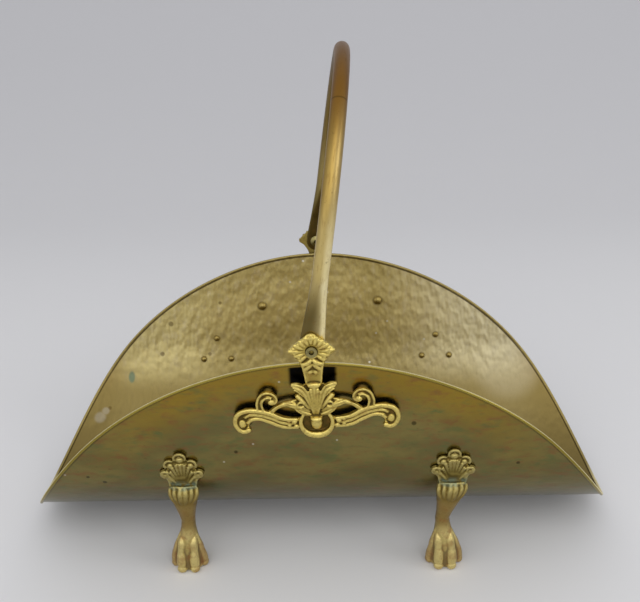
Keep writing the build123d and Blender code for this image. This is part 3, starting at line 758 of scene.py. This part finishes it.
arm_bars = [
    ([(17.0, -71.8, 3.0), (29.5, -70.2, 3.2), (42.0, -63.6, 3.2), (52.0, -60.3, 3.2), (63.0, -59.8, 3.2),
      (70.6, -63.4, 3.2), (73.8, -70.4, 3.1), (72.9, -77.4, 3.1), (68.2, -82.6, 3.1), (63.4, -82.4, 3.2)],
     [1.6, 2.1, 2.3, 2.3, 2.4, 2.4, 2.3, 2.3, 2.4, 2.4]),
    ([(19.0, -76.2, 3.0), (30.0, -74.6, 3.2), (41.0, -68.4, 3.3), (52.0, -64.5, 3.3), (60.0, -64.4, 3.2),
      (65.0, -67.8, 2.8)], [1.3, 1.8, 2.0, 1.9, 1.7, 1.0]),
    ([(17.0, -81.0, 2.8), (31.0, -78.9, 3.0), (44.0, -72.2, 3.0), (52.0, -69.0, 3.0), (58.6, -69.8, 3.0),
      (63.0, -74.2, 2.8)], [1.6, 2.1, 2.1, 2.0, 1.9, 1.5]),
    ([(47.0, -65.4, 1.2), (50.2, -58.0, 1.2), (50.0, -50.2, 1.3), (46.8, -44.2, 1.3), (42.0, -42.4, 1.3),
      (37.4, -44.6, 1.4), (35.8, -49.0, 1.6), (37.4, -52.4, 2.0), (40.2, -51.8, 2.6)],
     [2.7, 2.6, 2.5, 2.4, 2.4, 2.3, 2.3, 2.4, 2.6]),
    ([(45.8, -62.6, 3.2), (47.9, -55.4, 3.7), (47.4, -50.0, 3.9), (44.8, -46.6, 3.9), (41.6, -45.6, 3.9),
      (39.0, -47.2, 3.6)], [1.0, 1.1, 1.1, 1.1, 1.1, 0.9]),
    ([(49.0, -65.0, 3.0), (52.2, -58.0, 3.4), (52.0, -49.8, 3.6), (48.0, -42.8, 3.6), (42.0, -40.6, 3.6),
      (36.2, -43.4, 3.6), (34.2, -49.0, 3.4), (36.8, -53.6, 3.2)], [1.0, 1.1, 1.1, 1.1, 1.1, 1.1, 1.1, 1.0]),
    ([(22.0, -53.4, 1.5), (28.0, -54.6, 1.6), (34.0, -57.2, 1.6), (39.4, -61.6, 1.7), (44.4, -65.4, 1.8)],
     [2.8, 2.6, 2.5, 2.5, 2.6]),
    ([(28.6, -53.8, 3.6), (34.4, -56.0, 3.6), (40.4, -60.8, 3.6)], [0.8, 1.0, 0.8]),
]
for group in (neck_bars, leaf_bars, cup_bars, arm_bars):
    for path, radii in group:
        parts.append(bar(path, radii, 0.88))
bracket_beads = [
    ((67.8, -75.0, 2.2), (3.6, 4.6, 1.8)), ((0.6, -34.2, 3.6), (5.6, 2.8, 2.4)),
    ((0, -70.4, 2.8), (6.0, 3.0, 5.6)), ((62.6, -81.4, 3.2), (2.7, 2.6, 2.4)),
    ((20.2, -73.8, 3.2), (2.7, 2.5, 2.4)), ((25.0, -72.0, 3.2), (2.2, 2.0, 2.0)),
    ((18.8, -79.2, 3.0), (2.4, 2.2, 2.0)), ((24.8, -77.4, 3.2), (2.0, 1.9, 1.9)),
    ((39.6, -51.0, 3.0), (2.9, 2.8, 2.5)),
]
for place, half_sizes in bracket_beads:
    parts.append(bead(place, half_sizes))
pattern = join_pieces(parts, "bracket_pattern")
cast_whole(pattern, 0.6, 2)
bpy.ops.object.mode_set(mode="EDIT")
bpy.ops.mesh.select_all(action="SELECT")
bpy.ops.mesh.bisect(plane_co=(0, 0, 0.02), plane_no=(0, 0, 1), clear_inner=True, use_fill=True)
bpy.ops.object.mode_set(mode="OBJECT")
mark_hollows(pattern, 1.1)
spacers = []
for side in (-1, 1):
    place = (side * arm_rivet_aside * 1000, arm_rivet_up * 1000, 0.35 - standoff / 2)
    bpy.ops.mesh.primitive_cylinder_add(vertices=32, radius=4.6, depth=standoff + 0.6, location=place)
    spacers.append(bpy.context.object)
pattern = join_pieces([pattern] + spacers, "bracket_pattern")

# The brackets stand out and are rubbed most, so their high spots are yellow and their hollows brown.
# The back one is out of reach and browner.
bracket_brass, shader, colour, place = cast_brass(
    "sand_cast_brass_brackets", "#DDC872", "#B29B4C", "#574822", 0.38
)
behind = add_node(bracket_brass, "SeparateXYZ", {0: place}, output=1)
colour = film(bracket_brass, colour, between(bracket_brass, (behind, 0.0, 0.08)), 0.5, "#7A6A38")
finish_with(bracket_brass, shader, Base_Color=colour)
for end, way in (("front", -1), ("back", 1)):
    bracket = copy_of(pattern, "scroll_bracket_" + end)
    for vertex in bracket.data.vertices:
        x, up = turned(vertex.co.x, vertex.co.y, bracket_turn)
        off = vertex.co.z
        at_wall = on_wall(x / 1000, way * (pivot_around + up / 1000), (standoff + off) / 1000)
        at_head = Vector((x, way * (head_face + off), pivot_height + up)) / 1000
        vertex.co = at_wall.lerp(at_head, eased(ramp(up, wall_below, head_above)))
        vertex.co.x += hinge_offset
    turn_outward(bracket)
    bracket.data.materials.append(bracket_brass)
    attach(bracket, "basket")
    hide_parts("bracket_" + end)
bpy.data.objects.remove(pattern)

# Handle: a drawn brass tube bent to a hoop, its ends pressed flat and drilled for the pivots. A pale
# strip along its front right side is a painted highlight; it is brown and scratched at the top, with
# one thin crack across it, and darker on its back leg as painted shade.
hoop_radius = 142.305
leg_rise = 92.695
tube_radius = 7.14
paddle_radius = 11.0
paddle_half = 1.6
paddle_straight = 26.0
flare_end = 64.0
widening_start = 8.0
widening_end = 70.0
rest_lean = radians(7.8)
highlight_girth = 5.8
crack_run = 219.5
rubbed_roughness = 0.36
streaked_roughness = 0.5
arc_length = pi * hoop_radius
run_length = 2 * (paddle_radius + leg_rise) + arc_length
crowding = 0.85


def run_at(share):
    """Way along the tube from its first pivot, in mm, with more points towards both ends."""
    return run_length * (share - crowding * sin(2 * pi * share) / (2 * pi)) - paddle_radius


bpy.ops.mesh.primitive_grid_add(x_subdivisions=40, y_subdivisions=260, size=1)
handle = bpy.context.object
handle.name = "hoop_handle"
handle.data.name = "hoop_handle"
tube_map = handle.data.uv_layers[0]
tube_map.name = "tube_run"
for loop in handle.data.loops:
    corner = handle.data.vertices[loop.vertex_index].co
    girth = (corner.x + 0.5) * 2 * pi * tube_radius
    tube_map.data[loop.index].uv = (girth / 1000, run_at(corner.y + 0.5) / 1000)
for vertex in handle.data.vertices:
    run = run_at(vertex.co.y + 0.5)
    turn = (vertex.co.x + 0.5) * 2 * pi
    from_end = min(run, run_length - 2 * paddle_radius - run)
    rounding = ramp(from_end, paddle_straight, flare_end)
    widening = ramp(from_end, widening_end, widening_start)
    half_width = tube_radius + (paddle_radius - tube_radius) * widening**1.4
    half_depth = paddle_half + (tube_radius - paddle_half) * rounding**1.3
    if from_end < 0:
        half_width = sqrt(max(paddle_radius**2 - from_end**2, 0))
    fullness = 0.5 + 0.5 * rounding
    wide = half_width * abs(cos(turn)) ** fullness * (1 if cos(turn) > 0 else -1)
    deep = half_depth * abs(sin(turn)) ** fullness * (1 if sin(turn) > 0 else -1)
    past_leg = min(max(run - leg_rise, 0), arc_length)
    bend = past_leg / hoop_radius
    straight = run if run < leg_rise else leg_rise - max(run - leg_rise - arc_length, 0)
    y = -(hoop_radius + deep) * cos(bend)
    rise = straight + (hoop_radius + deep) * sin(bend)
    across, up = turned(wide, rise, -rest_lean)
    vertex.co = (hinge_offset + across / 1000, y / 1000, (pivot_height + up) / 1000)
work_on(handle)
bpy.ops.object.mode_set(mode="EDIT")
bpy.ops.mesh.select_all(action="SELECT")
bpy.ops.mesh.remove_doubles(threshold=0.00002)
bpy.ops.mesh.normals_make_consistent(inside=False)
bpy.ops.object.mode_set(mode="OBJECT")
bpy.ops.object.shade_smooth_by_angle(angle=smooth_below)

tube_brass, shader = metal("drawn_brass_tube_handled", rubbed_roughness)
where = add_node(tube_brass, "UVMap", {}, uv_map="tube_run")
run = add_node(tube_brass, "SeparateXYZ", {0: where}, output=1)
place = add_node(tube_brass, "TexCoord", {}, output=3)
height = add_node(tube_brass, "SeparateXYZ", {0: place}, output=2)
handling = blotches(tube_brass, place, 0.03, 0.4, 0.6)
colour = film(tube_brass, linear("#F4E6B2"), handling, 0.5, "#DFCC8C")
girth = add_node(tube_brass, "SeparateXYZ", {0: where}, output=0)
# Painted highlight: a pale strip along the tube's front right side, darker away from it.
off_strip = add_node(tube_brass, "Math", {0: girth, 1: highlight_girth / 1000}, operation="SUBTRACT")
from_strip = add_node(tube_brass, "Math", {0: off_strip}, operation="ABSOLUTE")
off_highlight = (from_strip, 0.0014, 0.0066)
colour = film(tube_brass, colour, between(tube_brass, off_highlight), 0.75, "#BDA45C")
colour = film(tube_brass, colour, between(tube_brass, (height, 0.33, 0.40)), 0.8, "#9C7E3C")
colour = film(tube_brass, colour, between(tube_brass, (height, 0.41, 0.47)), 0.92, "#855C22")
low_down = between(tube_brass, off_highlight, (height, 0.33, 0.28))
colour = film(tube_brass, colour, low_down, 0.9, "#594C28")
# Painted shade: darker on the back leg and the back half of the hoop.
behind = add_node(tube_brass, "SeparateXYZ", {0: place}, output=1)
colour = film(tube_brass, colour, between(tube_brass, (behind, 0.0, 0.05)), 0.65, "#5E5029")
drawn = add_node(tube_brass, "Mapping", {"Vector": where, "Scale": (6, 1, 1)})
streaks = blotches(tube_brass, drawn, 0.012, 0.52, 0.72, 5)
colour = film(tube_brass, colour, streaks, 0.4, "#7E5C2C")
colour = film(tube_brass, colour, blotches(tube_brass, place, 0.004, 0.62, 0.76, 4), 0.5, "#5A4220")
from_crack = add_node(tube_brass, "Math", {0: run, 1: crack_run / 1000}, operation="SUBTRACT")
crack_gap = add_node(tube_brass, "Math", {0: from_crack}, operation="ABSOLUTE")
colour = film(tube_brass, colour, between(tube_brass, (crack_gap, 0.0011, 0.0004)), 0.45, "#33260F")
scratches = unevenness(tube_brass, drawn, 0.00625, 0.0002, 0.2, 4)
dullness = add_node(
    tube_brass, "MapRange", {0: streaks, 3: rubbed_roughness, 4: streaked_roughness}
)
finish_with(tube_brass, shader, Base_Color=colour, Roughness=dullness, Normal=scratches)
handle.data.materials.append(tube_brass)
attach(handle, "handle")
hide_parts("handle")

# Rivets and pivot pins: turned brass set with a snap, so their domes are smooth. The pins are
# hollow-ended, and their small recesses are painted nearly black as shade.


def finish_nodes(word, material):
    """Gives the CAD's own pieces whose names hold this word their finish."""
    for name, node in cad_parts.items():
        if word in name:
            for material_slot in node.material_slots:
                material_slot.material = material


rivet_brass, shader = metal("turned_brass_rivets", 0.36)
place = add_node(rivet_brass, "TexCoord", {}, output=3)
tarnish = blotches(rivet_brass, place, 0.002, 0.42, 0.66, 4)
colour = film(rivet_brass, linear("#A08D52"), tarnish, 0.6, "#786536")
grain = unevenness(rivet_brass, place, 0.00143, 0.0002, 0.25)
finish_with(rivet_brass, shader, Base_Color=colour, Normal=grain)
finish_nodes("rivets", rivet_brass)

pin_brass, shader = metal("turned_brass_pivot_pins", 0.34)
place = add_node(pin_brass, "TexCoord", {}, output=3)
flat_place = add_node(pin_brass, "VectorMath", {0: place, 1: (1, 0, 1)}, operation="MULTIPLY")
sockets = {0: flat_place, 1: (hinge_offset, 0, pivot_height / 1000)}
from_axis = add_node(pin_brass, "VectorMath", sockets, output=1, operation="DISTANCE")
tarnish = blotches(pin_brass, place, 0.003, 0.45, 0.65, 4)
colour = film(pin_brass, linear("#968B5A"), tarnish, 0.5, "#6A6544")
# Painted shade in the pin's hollow end.
colour = film(pin_brass, colour, between(pin_brass, (from_axis, 0.0026, 0.0021)), 0.95, "#1E1D18")
grain = unevenness(pin_brass, place, 0.00143, 0.0002, 0.25)
finish_with(pin_brass, shader, Base_Color=colour, Normal=grain)
finish_nodes("pivot_pin", pin_brass)

# Rim wire: plain drawn iron wire with a little rust, shut inside the rolled edge of the trough, so
# nothing of it shows.
wire_iron, shader = metal("drawn_iron_wire", 0.5)
place = add_node(wire_iron, "TexCoord", {}, output=3)
rust = blotches(wire_iron, place, 0.008, 0.5, 0.7)
finish_with(wire_iron, shader, Base_Color=film(wire_iron, linear("#7A7672"), rust, 0.6, "#5E4434"))
finish_nodes("rim_wire", wire_iron)

# Floor and backdrop: one sheet of matt grey paper that lies flat under the object and sweeps up
# behind it, painted a little darker there as shade. It is staging and no part of the object.
front_edge = -2.6
paper_length = 7.0
paper_width = 9.0
flat_end = 1.0
sweep_radius = 1.2

bpy.ops.mesh.primitive_grid_add(x_subdivisions=2, y_subdivisions=60, size=1)
paper = bpy.context.object
paper.name = "pale_paper_sweep"
for vertex in paper.data.vertices:
    run = (vertex.co.y + 0.5) * paper_length + front_edge
    turn = min(max(run - flat_end, 0) / sweep_radius, pi / 2)
    rise = max(run - flat_end - sweep_radius * pi / 2, 0)
    y = min(run, flat_end) + sweep_radius * sin(turn)
    vertex.co = Vector((vertex.co.x * paper_width, y, sweep_radius * (1 - cos(turn)) + rise))
work_on(paper)
bpy.ops.object.shade_smooth()
paper_grey = bpy.data.materials.new("matt_paper_pale_grey")
paper_grey.use_nodes = True
shader = paper_grey.node_tree.nodes["Principled BSDF"]
place = add_node(paper_grey, "TexCoord", {}, output=3)
behind = add_node(paper_grey, "SeparateXYZ", {0: place}, output=1)
# Painted shade: the paper darkens towards the back.
shade = film(paper_grey, linear("#E0E0E1"), between(paper_grey, (behind, 0.2, 2.2)), 1.0, "#C2C2C5")
finish_with(paper_grey, shader, Base_Color=shade)
shader.inputs["Roughness"].default_value = 0.9
paper.data.materials.append(paper_grey)

# Studio light: an even pale room and three wide soft lamps, one high in front, one at the left and
# one at the right, each turned to the object. A lamp is given by its place, width and power.
lamps = {
    "front_softbox": ((0.2, -2.5, 2.4), 3.0, 34),
    "left_softbox": ((-2.6, -2.3, 1.7), 2.8, 14),
    "right_softbox": ((2.7, -1.2, 1.5), 1.6, 14),
}
for name, (place, size, power) in lamps.items():
    bpy.ops.object.light_add(type="AREA", location=place)
    lamp = bpy.context.object
    lamp.name = name
    lamp.data.size = size
    lamp.data.energy = power
    lamp.rotation_euler = (Vector((0, 0, 0.1)) - Vector(place)).to_track_quat("-Z", "Y").to_euler()
world = bpy.data.worlds.new("pale_room")
bpy.context.scene.world = world
world.use_nodes = True
background = world.node_tree.nodes["Background"]
background.inputs["Color"].default_value = linear("#C4C4C6")
background.inputs["Strength"].default_value = 1.2

# Camera: where the photograph was taken from, looking down and a little to the left, and slightly
# tilted. Its focal length is in pixels of the photograph, which is 640 wide.
pitch, yaw, roll_angle = radians(23.31216), radians(-1.17248), radians(-1.55079)
camera_place = (0.02036, -0.79006, 0.57534)
focal_pixels = 835.01
photo_width = 640
sensor_width = 36
forward = Vector((sin(yaw) * cos(pitch), cos(yaw) * cos(pitch), -sin(pitch)))
right = Vector((cos(yaw), -sin(yaw), 0))
upward = right.cross(forward)
rolled_right = right * cos(roll_angle) + upward * sin(roll_angle)
rolled_up = upward * cos(roll_angle) - right * sin(roll_angle)
bpy.ops.object.camera_add(location=camera_place)
camera = bpy.context.object
camera.rotation_euler = Matrix((rolled_right, rolled_up, -forward)).transposed().to_euler()
camera.data.sensor_width = sensor_width
camera.data.lens = sensor_width * focal_pixels / photo_width
camera.data.clip_start = 0.01
bpy.context.scene.camera = camera
bpy.context.scene.view_settings.view_transform = "Standard"
